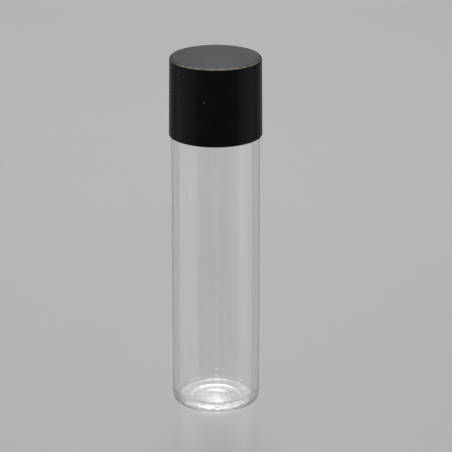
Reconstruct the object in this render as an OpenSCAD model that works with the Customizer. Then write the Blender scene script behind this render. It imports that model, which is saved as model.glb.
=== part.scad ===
// Glass sample vial with a black screw cap.
// A straight-walled glass vial stands on a rounded foot. Its shoulder turns in to a threaded
// neck, and a smooth black cap covers both. A disc liner inside the cap seals the mouth.
// +Z runs up the vial's own axis, and z = 0 is the plane that the foot stands on.
// All sizes are in millimetres.

/* [Glass body] */
// Outside diameter of the straight glass wall
glass_d = 20; // [17.5:0.1:26]
// Height of the glass alone, from the foot to the mouth
glass_h = 80; // [55:0.5:120]
// Thickness of the straight glass wall
wall = 1.5; // [1:0.1:2]
// Radius of the rounded foot corner
foot_r = 2; // [1:0.1:2.8]
// Height of the inside floor above the table, at the floor's edge
floor_z = 1.9; // [1.4:0.1:5]
// Radius where the inside floor meets the wall
floor_fillet = 1.3; // [0.5:0.05:2]
// Height that the middle of the inside floor rises above its edge
floor_crown = 0.5; // [0.1:0.05:0.8]
// Diameter of the hollow under the foot, inside the ring that it stands on
pushup_d = 10.5; // [8:0.1:13]
// Height of the hollow under the foot, at its middle
pushup_h = 0.65; // [0.2:0.05:1]

/* [Shoulder and neck] */
// Radius of the shoulder, where the wall turns in
shoulder_r = 2.4; // [2.2:0.05:3]
// Radius at the root of the neck, where the shoulder turns up
neck_root_r = 1.5; // [0.8:0.05:1.8]
// Radius inside the glass, where the shoulder turns up into the neck's bore
bore_root_r = 3.2; // [1:0.1:4]
// Height of the cap's rim above the place where the shoulder starts
shoulder_tuck = 0.7; // [0.4:0.05:1]
// How far the neck stands in from the straight wall, all round
neck_step = 2.2; // [2:0.05:2.6]
// Thickness of the glass in the neck, between the threads
neck_wall = 1.6; // [1.4:0.05:2]
// Radius of the mouth's outer and inner edges
lip_r = 0.5; // [0.2:0.05:0.6]

/* [Thread] */
// Rise of the thread in one turn
pitch = 3.175; // [3:0.005:3.3]
// Height of the glass thread above the neck
thread_h = 1.05; // [0.8:0.05:1.2]
// Width of the flat top of the glass thread
thread_top_w = 0.9; // [0.6:0.05:1]
// Width of the flat top of the cap's thread
cap_thread_top_w = 0.8; // [0.5:0.05:0.9]
// Height of the bevel that rounds the top of the glass thread
thread_bevel = 0.3; // [0.1:0.05:0.4]
// Distance from the mouth down to the middle of the first turn
thread_below_mouth = 2.1; // [1.8:0.1:3]
// Plain neck between its root and the last turn's middle
plain_neck = 3.6; // [2:0.1:5]
// Angle over which each end of a thread rises from the wall, in degrees
thread_fade = 45; // [20:5:90]

/* [Cap] */
// How far the cap's rim stands out past the glass, all round
cap_overhang = 0.52; // [0.5:0.02:1.6]
// How far the cap's side leans in, from the rim up to the top edge
cap_lean = 0.19; // [0:0.01:0.3]
// Height of the cap
cap_h = 18; // [15:0.1:22]
// Thickness of the cap's flat top
cap_top_t = 1.4; // [1:0.1:2.5]
// Radius of the cap's top edge
cap_edge_r = 0.55; // [0.2:0.05:0.9]
// Radius of the cap's rim, on its outer side
rim_r = 0.2; // [0.05:0.05:0.25]
// Height of the flare that takes the rim down over the shoulder
rim_flare_h = 2; // [1.6:0.1:2.6]
// Distance from the rim up to the middle of the cap's first turn
cap_thread_above_rim = 3.5; // [2.5:0.1:5]
// Distance from the mouth down to the middle of the cap's last turn
cap_thread_below_mouth = 4.6; // [3.5:0.1:6]
// Radius of the bead that holds the liner in
bead_r = 0.35; // [0.2:0.05:0.45]

/* [Liner] */
// Thickness of the liner disc, as the closed cap holds it
liner_t = 0.9; // [0.5:0.05:2]

/* [Clearances] */
// Radial gap between the cap's rim and the shoulder inside it
shoulder_gap = 0.26; // [0.2:0.02:0.3]
// Radial gap between the glass thread and the cap's bore
thread_gap = 0.3; // [0.2:0.02:0.4]
// Radial gap between the cap's thread and the neck
crest_gap = 0.3; // [0.2:0.02:0.45]
// Gap along the axis between the two threads, on the side that pulls the cap down
flank_gap = 0.15; // [0.1:0.01:0.2]
// Radial gap between the mouth and the recess that holds the liner
recess_gap = 0.95; // [0.8:0.05:1.1]
// Radial gap around the liner in its recess
liner_gap = 0.15; // [0.1:0.01:0.3]
// Gap between the liner and the bead under it
bead_gap = 0.15; // [0.05:0.05:0.4]

/* [Hidden] */
$fn = 96;

// Widening of each thread flank for every millimetre of its height
flank_slope = 0.5;
// Steps of each thread in one full turn
thread_steps = 36;
// Depth to which a thread's foot is sunk in the wall that carries it
thread_bury = 0.5;
// Depth to which a thread's faded end lies under the wall's surface
fade_sink = 0.1;
// Overlap that makes one cut run clear of a face
over = 1;

glass_r = glass_d / 2;
cavity_r = glass_r - wall;
neck_r = glass_r - neck_step;
mouth_r = neck_r - neck_wall;
thread_r = neck_r + thread_h;
mouth_z = glass_h;

// The cap stands on its liner, and the liner on the mouth.
liner_top_z = mouth_z + liner_t;
cap_top_z = liner_top_z + cap_top_t;
rim_z = cap_top_z - cap_h;

// The shoulder starts just under the rim, so the glass looks straight right up to the cap.
// Inside and outside, it bends about one centre, so the glass keeps its thickness there.
shoulder_start_z = rim_z - shoulder_tuck;
shoulder_in_r = shoulder_r - wall;
neck_root_z = shoulder_start_z + neck_rise(glass_r, neck_r, shoulder_r, neck_root_r);
bore_root_z = shoulder_start_z + neck_rise(cavity_r, mouth_r, shoulder_in_r, bore_root_r);

// The cap's rim clears the shoulder, its bore the glass thread, and its own thread the neck.
cap_rim_r = glass_r + cap_overhang;
cap_side_top_r = cap_rim_r - cap_lean;
shoulder_at_rim_r = glass_r - shoulder_r + sqrt(shoulder_r * shoulder_r - shoulder_tuck * shoulder_tuck);
cap_mouth_r = shoulder_at_rim_r + shoulder_gap;
cap_bore_r = thread_r + thread_gap;
cap_crest_r = neck_r + crest_gap;
recess_r = neck_r + recess_gap;
liner_r = recess_r - liner_gap;
bead_z = mouth_z - bead_gap - bead_r;
recess_z = bead_z - bead_r;

// Radius of the crown and of the hollow, from each one's width and height
floor_flat_r = cavity_r - floor_fillet;
crown_sphere_r = (floor_flat_r * floor_flat_r + floor_crown * floor_crown) / (2 * floor_crown);
pushup_r = pushup_d / 2;
pushup_sphere_r = (pushup_r * pushup_r + pushup_h * pushup_h) / (2 * pushup_h);

// Both threads are right-handed. A turn's middle is at helix_z when it crosses +X.
// The cap's turns lie under the glass's turns, by the two half widths and the gap.
helix_z = mouth_z - thread_below_mouth;
flank_reach = (thread_r - cap_crest_r) * flank_slope;
cap_helix_z = helix_z - thread_top_w / 2 - cap_thread_top_w / 2 - flank_reach - flank_gap;
glass_turn_low_z = neck_root_z + plain_neck;
cap_turn_low_z = rim_z + cap_thread_above_rim;
cap_turn_high_z = mouth_z - cap_thread_below_mouth;

// The cap's side leans in from the rim to the top edge by this angle.
cap_draft = atan(cap_lean / (cap_h - cap_edge_r));

// Angle that a bend from a wide radius to a narrow one turns through, 90 where it has a flat
function bend_turn(wide_r, narrow_r, out_r, in_r) = acos(max(0, 1 - (wide_r - narrow_r) / (out_r + in_r)));

// Height that such a bend takes, from the wide wall's end to the narrow wall's start
function neck_rise(wide_r, narrow_r, out_r, in_r) =
    (out_r + in_r) * sin(bend_turn(wide_r, narrow_r, out_r, in_r));

// Smaller of 1 and the share of its fade that a thread has risen, seen from both ends
function fade_share(a, low_a, high_a) = min(1, (a - low_a) / thread_fade, (high_a - a) / thread_fade);

// Half width of a thread at a radius, for a crest at crest_r and a flat top top_w wide
function half_width(r, crest_r, top_w) = top_w / 2 + abs(crest_r - r) * flank_slope;

// One section of a thread as [radius, height] pairs, with side 1 outside a wall and -1 inside one
function thread_section(share, side, root_r, crest_r, top_w, bevel) =
    let (rise = abs(crest_r - root_r) + fade_sink)
    let (top_r = root_r + side * (share * rise - fade_sink))
    let (base_r = root_r - side * thread_bury)
    let (edge_r = top_r - side * bevel)
    let (base_w = half_width(base_r, crest_r, top_w))
    let (edge_w = half_width(edge_r, crest_r, top_w))
    let (top_half = half_width(top_r, crest_r, top_w) - bevel * (1 - flank_slope))
    bevel > 0
        ? [[base_r, -base_w], [edge_r, -edge_w], [top_r, -top_half],
           [top_r, top_half], [edge_r, edge_w], [base_r, base_w]]
        : [[base_r, -base_w], [top_r, -top_half], [top_r, top_half], [base_r, base_w]];

// A thread as one solid strip, swept along its helix from low_z up to high_z.
module thread(side, root_r, crest_r, top_w, bevel, start_z, low_z, high_z) {
    low_a = (low_z - start_z) / pitch * 360;
    high_a = (high_z - start_z) / pitch * 360;
    count = ceil((high_a - low_a) / 360 * thread_steps);
    sections = [
        for (i = [0 : count])
            let (a = low_a + (high_a - low_a) * i / count)
            let (z = start_z + pitch * a / 360)
            [for (p = thread_section(fade_share(a, low_a, high_a), side, root_r, crest_r, top_w, bevel))
                [p[0] * cos(a), p[0] * sin(a), z + p[1]]]
    ];
    size = len(sections[0]);
    points = [for (section = sections) for (p = section) p];
    sides = [
        for (i = [0 : count - 1])
            for (j = [0 : size - 1])
                let (a = i * size + j)
                let (b = i * size + (j + 1) % size)
                for (f = [[a, b, b + size], [a, b + size, a + size]]) f
    ];
    last = count * size;
    first_end = [for (j = [1 : size - 2]) [0, j + 1, j]];
    last_end = [for (j = [1 : size - 2]) [last, last + j, last + j + 1]];
    faces = concat(sides, first_end, last_end);
    polyhedron(points = points, faces = side > 0 ? faces : [for (f = faces) [f[0], f[2], f[1]]]);
}

// Half of a wide cylinder that bends in to a narrow one above it, solid to the axis.
// The bend starts at start_z. It has radius out_r where it leaves the wide wall, and in_r
// where it meets the narrow wall, which runs up to end_z.
module bent_in(wide_r, narrow_r, out_r, in_r, low_z, start_z, end_z) {
    turn = bend_turn(wide_r, narrow_r, out_r, in_r);
    root_z = start_z + neck_rise(wide_r, narrow_r, out_r, in_r);
    way = [cos(turn), sin(turn)];
    out_centre = [wide_r - out_r, start_z];
    in_centre = [narrow_r + in_r, root_z];
    translate([0, low_z]) square([wide_r, start_z - low_z]);
    translate([0, start_z - over]) square([narrow_r, end_z - start_z + over]);
    translate(out_centre) circle(out_r);
    difference() {
        polygon([
            [0, start_z - over],
            [wide_r - out_r, start_z - over],
            out_centre,
            out_centre + out_r * way,
            in_centre - in_r * way,
            in_centre,
            [0, root_z]
        ]);
        translate(in_centre) circle(in_r);
    }
}

// Half of the glass's outer outline, solid to the axis, with its foot and its lip rounded.
module glass_outside() {
    square([glass_r - foot_r, foot_r + over]);
    translate([glass_r - foot_r, foot_r]) circle(foot_r);
    bent_in(glass_r, neck_r, shoulder_r, neck_root_r, foot_r, shoulder_start_z, mouth_z - lip_r);
    translate([0, mouth_z - lip_r - over]) square([neck_r - lip_r, lip_r + over]);
    translate([neck_r - lip_r, mouth_z - lip_r]) circle(lip_r);
}

// Half of the space inside the glass, from the floor up through the mouth.
module glass_inside() {
    wall_low_z = floor_z + floor_fillet;
    difference() {
        translate([0, floor_z]) square([floor_flat_r, floor_fillet + over]);
        translate([0, floor_z + floor_crown - crown_sphere_r]) circle(crown_sphere_r, $fn = 360);
    }
    translate([floor_flat_r, wall_low_z]) circle(floor_fillet);
    bent_in(cavity_r, mouth_r, shoulder_in_r, bore_root_r, wall_low_z, shoulder_start_z, mouth_z + over);
    difference() {
        translate([mouth_r - over, mouth_z - lip_r]) square([lip_r + over, lip_r + over]);
        translate([mouth_r + lip_r, mouth_z - lip_r]) circle(lip_r);
    }
}

// The vial: foot, wall, shoulder, neck and thread, formed as one piece of glass.
module vial_glass() {
    color([0.88, 0.93, 0.93, 0.4]) {
        rotate_extrude() difference() {
            glass_outside();
            glass_inside();
            translate([0, pushup_h - pushup_sphere_r]) circle(pushup_sphere_r, $fn = 360);
        }
        thread(1, neck_r, thread_r, thread_top_w, thread_bevel, helix_z, glass_turn_low_z, helix_z);
    }
}

// Half of the cap's outer outline, solid to the axis, with its leaning side and rounded edges.
module cap_outside() {
    edge_x = cap_side_top_r - cap_edge_r / cos(cap_draft);
    edge_z = cap_top_z - cap_edge_r;
    rim_x = cap_rim_r - rim_r * tan(cap_draft) - rim_r / cos(cap_draft);
    polygon([
        [0, rim_z],
        [rim_x, rim_z],
        [rim_x + rim_r * cos(cap_draft), rim_z + rim_r + rim_r * sin(cap_draft)],
        [edge_x + cap_edge_r * cos(cap_draft), edge_z + cap_edge_r * sin(cap_draft)],
        [edge_x, cap_top_z],
        [0, cap_top_z]
    ]);
    translate([edge_x, edge_z]) circle(cap_edge_r);
    translate([rim_x, rim_z + rim_r]) circle(rim_r);
}

// Half of the space inside the cap: the flare, the bore and the liner's recess.
module cap_inside() {
    translate([0, rim_z - over]) square([cap_bore_r, recess_z - rim_z + over]);
    polygon([
        [0, rim_z - over],
        [cap_mouth_r, rim_z - over],
        [cap_mouth_r, rim_z],
        [cap_bore_r, rim_z + rim_flare_h],
        [0, rim_z + rim_flare_h]
    ]);
    difference() {
        translate([0, recess_z - over]) square([recess_r, liner_top_z - recess_z + over]);
        translate([recess_r, bead_z]) circle(bead_r);
    }
}

// The cap: one black moulding with its thread and the bead that holds the liner.
module cap_shell() {
    color([0.06, 0.06, 0.065]) {
        rotate_extrude() difference() {
            cap_outside();
            cap_inside();
        }
        thread(
            -1, cap_bore_r, cap_crest_r, cap_thread_top_w, 0,
            cap_helix_z, cap_turn_low_z, cap_turn_high_z
        );
    }
}

// The liner: a soft disc that the cap presses onto the mouth.
module cap_liner() {
    color([0.93, 0.93, 0.9]) translate([0, 0, mouth_z]) cylinder(r = liner_r, h = liner_t);
}

vial_glass();
cap_shell();
cap_liner();
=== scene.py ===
import logging
import math
from dataclasses import dataclass, field
from enum import Enum
from typing import Any

import bpy
import numpy as np
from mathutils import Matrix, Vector


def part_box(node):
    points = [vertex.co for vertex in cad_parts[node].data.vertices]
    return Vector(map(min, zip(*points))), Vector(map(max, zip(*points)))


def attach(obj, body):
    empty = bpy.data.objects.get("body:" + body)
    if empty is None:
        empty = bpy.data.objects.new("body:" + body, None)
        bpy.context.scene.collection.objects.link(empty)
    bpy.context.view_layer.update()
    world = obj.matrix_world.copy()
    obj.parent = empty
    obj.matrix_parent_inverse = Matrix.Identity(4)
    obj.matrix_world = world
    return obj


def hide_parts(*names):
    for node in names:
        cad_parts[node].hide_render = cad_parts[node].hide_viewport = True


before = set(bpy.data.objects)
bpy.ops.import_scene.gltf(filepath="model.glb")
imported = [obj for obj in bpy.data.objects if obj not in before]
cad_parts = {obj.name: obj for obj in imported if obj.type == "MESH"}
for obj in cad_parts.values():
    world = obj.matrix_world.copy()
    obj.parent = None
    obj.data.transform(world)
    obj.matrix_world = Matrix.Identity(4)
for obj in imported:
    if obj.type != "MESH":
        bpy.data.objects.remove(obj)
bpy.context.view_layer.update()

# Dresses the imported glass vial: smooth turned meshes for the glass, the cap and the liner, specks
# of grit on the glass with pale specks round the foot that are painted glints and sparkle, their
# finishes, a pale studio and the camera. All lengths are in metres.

LOG = logging.getLogger("vial")
MM = 0.001
TURN_STEPS = 192  # Faces in one turn of a turned piece.
ON_AXIS = 1e-9  # The end of an outline lies on the axis if its radius is under this.
SAME_POINT = 1e-7  # Two points of an outline are one if they are nearer than this.

Point = tuple[float, float]
Place = tuple[float, float, float]
Colour = tuple[float, float, float, float]
Socket = bpy.types.NodeSocket


class Body(Enum):
    """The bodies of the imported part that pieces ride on."""

    VIAL = "vial"
    LINER = "liner"
    CAP = "cap"


class Slot(Enum):
    """The record's material slots."""

    GLASS = "glass"
    CAP = "cap_plastic"
    LINER = "liner_foam"


class ThreadSide(Enum):
    """Whether a thread stands out from its wall or in towards the axis."""

    OUT = 1
    IN = -1


# ---------------------------------------------------------------------------------------------
# Outlines: (n, 2) arrays of radius and height, walked with the solid on the left.
# ---------------------------------------------------------------------------------------------


def arc(centre: Point, radius: float, start: float, end: float, steps: int) -> np.ndarray:
    """Points at equal angles on a circle: centre + radius * (cos a, sin a).

    Args:
        centre: Radius and height of the circle's centre.
        radius: Radius of the circle.
        start: First angle in degrees, 0 along the radius and 90 upwards.
        end: Last angle in degrees.
        steps: Number of steps between the two.

    Returns:
        The (steps + 1, 2) array of points.
    """
    angle = np.radians(np.linspace(start, end, steps + 1))
    return np.array(centre) + radius * np.stack([np.cos(angle), np.sin(angle)], axis=1)


def run(start: Point, end: Point, steps: int) -> np.ndarray:
    """Points on a straight line, closer together towards its ends: share (1 - cos(pi t)) / 2.

    Args:
        start: First point.
        end: Last point.
        steps: Number of steps between the two.

    Returns:
        The (steps + 1, 2) array of points.
    """
    share = (1 - np.cos(np.pi * np.linspace(0, 1, steps + 1))) / 2
    return np.array(start) + share[:, None] * (np.array(end) - np.array(start))


def even_wall(radius: float, start: float, end: float, count: int) -> np.ndarray:
    """Points in even steps along a wall that a thread will stand on: (radius, z).

    Args:
        radius: Radius of the wall.
        start: Height of the first point.
        end: Height of the last point.
        count: Number of points.

    Returns:
        The (count, 2) array of points.
    """
    height = np.linspace(start, end, count)
    return np.stack([np.full_like(height, radius), height], axis=1)


def dome(rise: float, radius: float, height: float, steps: int) -> np.ndarray:
    """A shallow spherical dome from the axis out to its edge, as an arc about a centre on the axis.

    The sphere through both has radius (radius^2 + rise^2) / (2 rise).

    Args:
        rise: How far the middle stands above the edge.
        radius: Radius of the edge.
        height: Height of the edge.
        steps: Number of steps from the axis to the edge.

    Returns:
        The (steps + 1, 2) array of points.
    """
    sphere = (radius**2 + rise**2) / (2 * rise)
    edge_angle = math.degrees(math.acos(radius / sphere))
    return arc((0.0, height + rise - sphere), sphere, 90.0, edge_angle, steps)


def bend(wide: float, narrow: float, out_radius: float, in_radius: float) -> tuple[float, float]:
    """The turn of a wall that bends in from one radius to a smaller one by two tangent arcs.

    The turn is the angle whose cosine is 1 - (wide - narrow) / (out_radius + in_radius), and the
    bend takes a height of (out_radius + in_radius) times its sine.

    Args:
        wide: Radius of the wide wall.
        narrow: Radius of the narrow wall.
        out_radius: Radius of the arc that leaves the wide wall.
        in_radius: Radius of the arc that meets the narrow wall.

    Returns:
        The turn in degrees, and the height that it takes.
    """
    reach = out_radius + in_radius
    turn = math.acos(1 - (wide - narrow) / reach)
    return math.degrees(turn), reach * math.sin(turn)


def outline(*pieces: np.ndarray) -> np.ndarray:
    """Joins pieces of an outline into one, and drops points that repeat the one before.

    Args:
        pieces: (n, 2) arrays of points, in order.

    Returns:
        The joined array.
    """
    points = np.concatenate(pieces)
    step = np.linalg.norm(np.diff(points, axis=0), axis=1)
    return points[np.concatenate([[True], step > SAME_POINT])]


def path_length(points: np.ndarray) -> float:
    """Length of an outline, the sum of its steps."""
    return float(np.linalg.norm(np.diff(points, axis=0), axis=1).sum())


def stretch(before: np.ndarray, wall: np.ndarray) -> tuple[float, float]:
    """Distances along an outline at which a wall starts and ends, after the pieces before it."""
    start = path_length(before)
    return start, start + path_length(wall)


# ---------------------------------------------------------------------------------------------
# Surfaces
# ---------------------------------------------------------------------------------------------


@dataclass(frozen=True)
class Thread:
    """A right-handed screw thread on a round wall, as a height over that wall.

    Attributes:
        side: Out from the wall or in from it.
        rise: Height of the crest over the wall.
        section: Distances along the axis from the thread's middle, growing.
        heights: The share of the rise at each of those distances.
        pitch: Rise along the axis in one turn.
        middle_z: Height of the thread's middle where it crosses +X.
        low_z: Height at which it starts.
        high_z: Height at which it ends.
        fade: Angle over which each end rises from the wall, in radians.
        sink: How far each end sinks, as a share of the rise. Past 1, so that it leaves the wall plain.
    """

    side: ThreadSide
    rise: float
    section: tuple[float, ...]
    heights: tuple[float, ...]
    pitch: float
    middle_z: float
    low_z: float
    high_z: float
    fade: float = math.radians(45)
    sink: float = 1.1

    def height(self, angle: np.ndarray, z: np.ndarray) -> np.ndarray:
        """Signed height of the thread over its wall at points of that wall.

        The helix's middle lies at middle_z + pitch a / 2 pi, for an unwound angle a. Each turn
        gives rise times the section's share at the distance from that middle, less what its
        fading end has sunk, and the highest turn counts.

        Args:
            angle: Angle round the axis, in radians from 0 to 2 pi.
            z: Height along the axis, of the same shape as angle.

        Returns:
            The height to add to the wall's radius.
        """
        low = (self.low_z - self.middle_z) / self.pitch * 2 * np.pi
        high = (self.high_z - self.middle_z) / self.pitch * 2 * np.pi
        best = np.zeros_like(z)
        for turn in range(math.floor(low / (2 * np.pi)), math.ceil(high / (2 * np.pi)) + 1):
            unwound = angle + 2 * np.pi * turn
            distance = np.abs(z - self.middle_z - self.pitch * unwound / (2 * np.pi))
            share = np.interp(distance, self.section, self.heights)
            risen = np.clip(np.minimum(unwound - low, high - unwound) / self.fade, 0, 1)
            sunk = (1 - risen**2 * (3 - 2 * risen)) * self.sink
            best = np.maximum(best, self.rise * (share - sunk))
        return self.side.value * best


def new_object(name: str, points: np.ndarray, faces: list[list[int]]) -> bpy.types.Object:
    """Makes a smooth-shaded mesh object at the origin and links it to the scene.

    Args:
        name: Name of the object and of its mesh.
        points: (n, 3) array of the mesh's points.
        faces: Numbers of the points of each face, counterclockwise as seen from outside.

    Returns:
        The new object.
    """
    mesh = bpy.data.meshes.new(name)
    mesh.from_pydata(points.tolist(), [], faces)
    mesh.polygons.foreach_set("use_smooth", np.ones(len(faces), dtype=bool))
    mesh.update()
    obj = bpy.data.objects.new(name, mesh)
    bpy.context.scene.collection.objects.link(obj)
    return obj


def lathe(name: str, profile: np.ndarray, thread: Thread | None = None,
          threaded: tuple[float, float] = (0.0, 0.0)) -> bpy.types.Object:
    """Turns a profile round the Z axis into a closed, smooth-shaded mesh.

    Point (i, j) is (r cos a, r sin a, z), with r and z from the profile's point i and the angle
    a = 2 pi j / TURN_STEPS. On rows inside the threaded stretch, the thread's height at (a, z)
    is added to r. A profile end on the axis closes with a fan of triangles.

    Args:
        name: Name of the new object.
        profile: (n, 2) array of radius and height, walked with the solid on the left.
        thread: Thread on one stretch of the profile, if any.
        threaded: First and last distance along the profile of the threaded stretch.

    Returns:
        The new object, linked to the scene.
    """
    angle = np.arange(TURN_STEPS) * 2 * np.pi / TURN_STEPS
    radius = np.repeat(profile[:, :1], TURN_STEPS, axis=1)
    height = np.repeat(profile[:, 1:], TURN_STEPS, axis=1)
    if thread is not None:
        step = np.linalg.norm(np.diff(profile, axis=0), axis=1)
        along = np.concatenate([[0.0], np.cumsum(step)])
        inside = (along >= threaded[0]) & (along <= threaded[1])
        turned = np.broadcast_to(angle, radius.shape)
        radius = radius + np.where(inside[:, None], thread.height(turned, height), 0.0)
    grid = np.stack([radius * np.cos(angle), radius * np.sin(angle), height], axis=-1)

    first_pole, last_pole = profile[0, 0] < ON_AXIS, profile[-1, 0] < ON_AXIS
    rows = np.arange(int(first_pole), len(profile) - int(last_pole))
    points = grid[rows].reshape(-1, 3)
    row = np.arange(len(rows) - 1)[:, None] * TURN_STEPS
    next_row = row + TURN_STEPS
    left = np.arange(TURN_STEPS)
    right = (left + 1) % TURN_STEPS
    quads = np.stack([row + left, row + right, next_row + right, next_row + left], axis=-1)
    faces = quads.reshape(-1, 4).tolist()
    if first_pole:
        pole = np.full(TURN_STEPS, len(points))
        points = np.vstack([points, grid[0, 0]])
        faces += np.stack([pole, right, left], axis=-1).tolist()
    if last_pole:
        pole = np.full(TURN_STEPS, len(points))
        points = np.vstack([points, grid[-1, 0]])
        last = (len(rows) - 1) * TURN_STEPS
        faces += np.stack([last + left, last + right, pole], axis=-1).tolist()
    return new_object(name, points, faces)


# ---------------------------------------------------------------------------------------------
# Node wiring
# ---------------------------------------------------------------------------------------------


@dataclass
class Wiring:
    """A node tree that is being wired.

    Attributes:
        tree: The node tree.
    """

    tree: bpy.types.NodeTree

    def fill(self, node: bpy.types.Node, **inputs: Any) -> None:
        """Sets or links inputs of a node.

        Args:
            node: The node.
            inputs: Values or output sockets, by input name with spaces as underscores, or by
                position as in_0.
        """
        for key, value in inputs.items():
            by_place = key.startswith("in_")
            socket = node.inputs[int(key.removeprefix("in_")) if by_place else key.replace("_", " ")]
            if isinstance(value, Socket):
                self.tree.links.new(value, socket)
            else:
                socket.default_value = value

    def node(self, kind: str, settings: dict[str, Any] | None = None, **inputs: Any) -> bpy.types.Node:
        """Adds a node.

        Args:
            kind: Blender's type name of the node.
            settings: Properties of the node itself.
            inputs: Its inputs, as fill takes them.

        Returns:
            The new node.
        """
        made = self.tree.nodes.new(kind)
        for key, value in (settings or {}).items():
            setattr(made, key, value)
        self.fill(made, **inputs)
        return made

    def math(self, operation: str, first: Any, second: Any, clamp: bool = False) -> Socket:
        """Output of a Math node with that operation on two values or sockets."""
        settings = {"operation": operation, "use_clamp": clamp}
        return self.node("ShaderNodeMath", settings, in_0=first, in_1=second).outputs[0]

    def times(self, *factors: Any) -> Socket:
        """Product of two or more values or sockets.

        Args:
            factors: The values or sockets.

        Returns:
            The output of the last Math node.
        """
        product = factors[0]
        for factor in factors[1:]:
            product = self.math("MULTIPLY", product, factor)
        return product

    def remap(self, value: Socket, low: float, high: float, to_low: float = 0.0, to_high: float = 1.0,
              smooth: bool = False) -> Socket:
        """Output of a clamped Map Range node.

        Args:
            value: The value that is mapped.
            low: Value that gives to_low.
            high: Value that gives to_high.
            to_low: Result at low.
            to_high: Result at high.
            smooth: Whether the way between them is a smooth step.

        Returns:
            The mapped value.
        """
        settings = {"interpolation_type": "SMOOTHSTEP" if smooth else "LINEAR"}
        made = self.node("ShaderNodeMapRange", settings, in_0=value, in_1=low, in_2=high,
                         in_3=to_low, in_4=to_high)
        return made.outputs["Result"]

    def noise(self, place: Socket, scale: Any, detail: float, roughness: float = 0.5) -> Socket:
        """Output of a Noise Texture, between 0 and 1 and mostly near 0.5."""
        made = self.node("ShaderNodeTexNoise", Vector=place, Scale=scale, Detail=detail,
                         Roughness=roughness)
        return made.outputs["Fac"]

    def blend(self, share: Socket, first: Any, second: Any) -> Socket:
        """Colour that goes from the first to the second as the share goes from 0 to 1."""
        made = self.node("ShaderNodeMix", {"data_type": "RGBA"}, Factor=share, in_6=first, in_7=second)
        return made.outputs[2]

    def bump(self, depth: float, height: Socket, **under: Socket) -> Socket:
        """Normal of a relief of that depth, on the face's own normal or on one given as Normal."""
        made = self.node("ShaderNodeBump", Strength=1.0, Distance=depth, Height=height, **under)
        return made.outputs["Normal"]

    def radius_and_height(self, place: Socket) -> tuple[Socket, Socket]:
        """Distance from the Z axis and height of a point: the length of (x, y, 0), and z.

        Args:
            place: The point.

        Returns:
            Its distance and its height.
        """
        flat = self.node("ShaderNodeVectorMath", {"operation": "MULTIPLY"}, in_0=place,
                         in_1=(1.0, 1.0, 0.0))
        radius = self.node("ShaderNodeVectorMath", {"operation": "LENGTH"}, in_0=flat.outputs["Vector"])
        height = self.node("ShaderNodeSeparateXYZ", Vector=place)
        return radius.outputs["Value"], height.outputs["Z"]

    def show_mix(self, share: Socket, first: bpy.types.Node, second: bpy.types.Node) -> None:
        """Puts a mix of two shaders on the material's surface.

        Args:
            share: Share of the second shader.
            first: The first shader.
            second: The second shader.
        """
        mixed = self.node("ShaderNodeMixShader", in_0=share, in_1=first.outputs[0],
                          in_2=second.outputs[0])
        output = next(node for node in self.tree.nodes if node.type == "OUTPUT_MATERIAL")
        self.fill(output, Surface=mixed.outputs[0])


def new_group(name: str, numbers: tuple[str, ...], results: tuple[str, ...]) -> tuple[Wiring, Any, Any]:
    """Starts a shader node group with a Vector input, number inputs and number outputs.

    Args:
        name: Name of the group.
        numbers: Names of its number inputs.
        results: Names of its outputs.

    Returns:
        The group's wiring, the sockets of its inputs by name, and its output node.
    """
    tree = bpy.data.node_groups.new(name, "ShaderNodeTree")
    tree.interface.new_socket("Vector", in_out="INPUT", socket_type="NodeSocketVector")
    for label in numbers:
        tree.interface.new_socket(label, in_out="INPUT", socket_type="NodeSocketFloat")
    for label in results:
        tree.interface.new_socket(label, in_out="OUTPUT", socket_type="NodeSocketFloat")
    wiring = Wiring(tree)
    return wiring, wiring.node("NodeGroupInput").outputs, wiring.node("NodeGroupOutput")


def dust_group() -> bpy.types.NodeTree:
    """A scatter of small round specks, for the glass and the cap.

    Space is cut into cells, each with one point. A speck is where the distance to that point is
    under Size times a random share, and Kept is the share of cells that have one.

    Returns:
        The group: Vector, Scale, Size and Kept in, Mask out.
    """
    wiring, given, result = new_group("dust_specks", ("Scale", "Size", "Kept"), ("Mask",))
    least_share = 0.4
    soft_edge = 0.45
    cells = wiring.node("ShaderNodeTexVoronoi", Vector=given["Vector"], Scale=given["Scale"])
    chance = wiring.node("ShaderNodeSeparateColor", Color=cells.outputs["Color"])
    reach = wiring.times(given["Size"], wiring.math("ADD", chance.outputs["Green"], least_share))
    far = wiring.math("DIVIDE", cells.outputs["Distance"], reach)
    near = wiring.math("SUBTRACT", 1.0, far, clamp=True)
    kept = wiring.math("LESS_THAN", chance.outputs["Red"], given["Kept"])
    wiring.fill(result, Mask=wiring.times(wiring.remap(near, 0.0, soft_edge, smooth=True), kept))
    return wiring.tree


def skin_group() -> bpy.types.NodeTree:
    """The fine skin of a moulded or foamed face, for the cap and the liner.

    A coarse noise gives the slow swells that soften its reflections, and a fine one the grain.
    Height is swell plus grain, and Tone varies slowly between 0 and 1 for colour and gloss.

    Returns:
        The group: Vector, Swell Scale, Grain Scale and Grain in, Height and Tone out.
    """
    wiring, given, result = new_group(
        "moulded_skin", ("Swell Scale", "Grain Scale", "Grain"), ("Height", "Tone"))
    low_swell, high_swell = 0.3, 0.7
    swell = wiring.noise(given["Vector"], given["Swell Scale"], detail=2.0)
    grain = wiring.noise(given["Vector"], given["Grain Scale"], detail=3.0)
    height = wiring.math("ADD", swell, wiring.times(grain, given["Grain"]))
    wiring.fill(result, Height=height, Tone=wiring.remap(swell, low_swell, high_swell))
    return wiring.tree


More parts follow.
